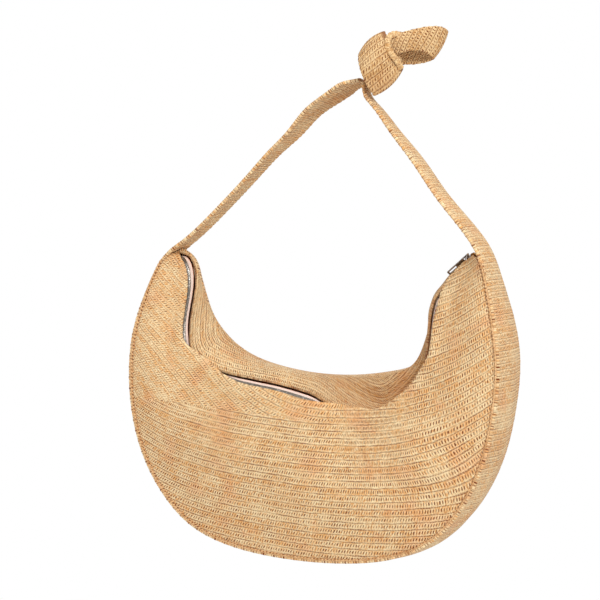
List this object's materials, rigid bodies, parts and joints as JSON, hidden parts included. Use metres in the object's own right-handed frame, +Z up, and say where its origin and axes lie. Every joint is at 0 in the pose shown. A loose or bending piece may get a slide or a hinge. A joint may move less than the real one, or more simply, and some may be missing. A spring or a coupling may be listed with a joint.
{
  "type": "hobo bag",
  "caption": "Crescent hobo bag in crocheted raffia with a zipped mouth, hung from a shoulder strap tied in a knot.",
  "frame": {"origin": "the point under the knot that the bag hangs from", "axes": "+Z up, -Y out of the front panel, +X to the right seen from the front"},
  "size_m": [0.4864, 0.0992, 0.6342],
  "materials": {
    "raffia": "crocheted straw raffia, matt with a faint sheen",
    "raffia_join": "crocheted join, darker in its holes",
    "lining": "plain woven cotton",
    "zip_tape": "twill tape, blush beige",
    "zip_teeth": "plated grey metal",
    "zip_slider": "gunmetal plating, satin"
  },
  "bodies": {
    "strap": {"strap_left": "raffia", "strap_right": "raffia", "knot": "raffia", "knot_loop": "raffia"},
    "bag": {"front_panel": "raffia", "back_panel": "raffia", "gusset": "raffia", "seam_front": "raffia_join", "seam_back": "raffia_join", "lining_front": "lining", "lining_back": "lining", "lining_base": "lining", "pocket": "lining", "tape_front": "zip_tape", "tape_back": "zip_tape", "teeth_front": "zip_teeth", "teeth_back": "zip_teeth", "stop_closed_end": "zip_teeth", "stop_open_end": "zip_teeth"},
    "slider": {"slider": "zip_slider"},
    "pull": {"pull": "zip_slider"}
  },
  "joints": [
    {"name": "bag_swing", "type": "hinge", "parent": "strap", "child": "bag", "pos_m": [-0.064, 0, -0.18], "axis": [1, 0, 0], "range_deg": [-15, 15]},
    {"name": "zip_slide", "type": "hinge", "parent": "bag", "child": "slider", "pos_m": [-0.064, 0, -0.18], "axis": [0, 0.9848, -0.1736], "range_deg": [0, 176]},
    {"name": "pull_flip", "type": "hinge", "parent": "slider", "child": "pull", "pos_m": [0.11704, -0.0011, -0.18623], "axis": [0, 0.9848, -0.1736], "range_deg": [0, 90]}
  ]
}
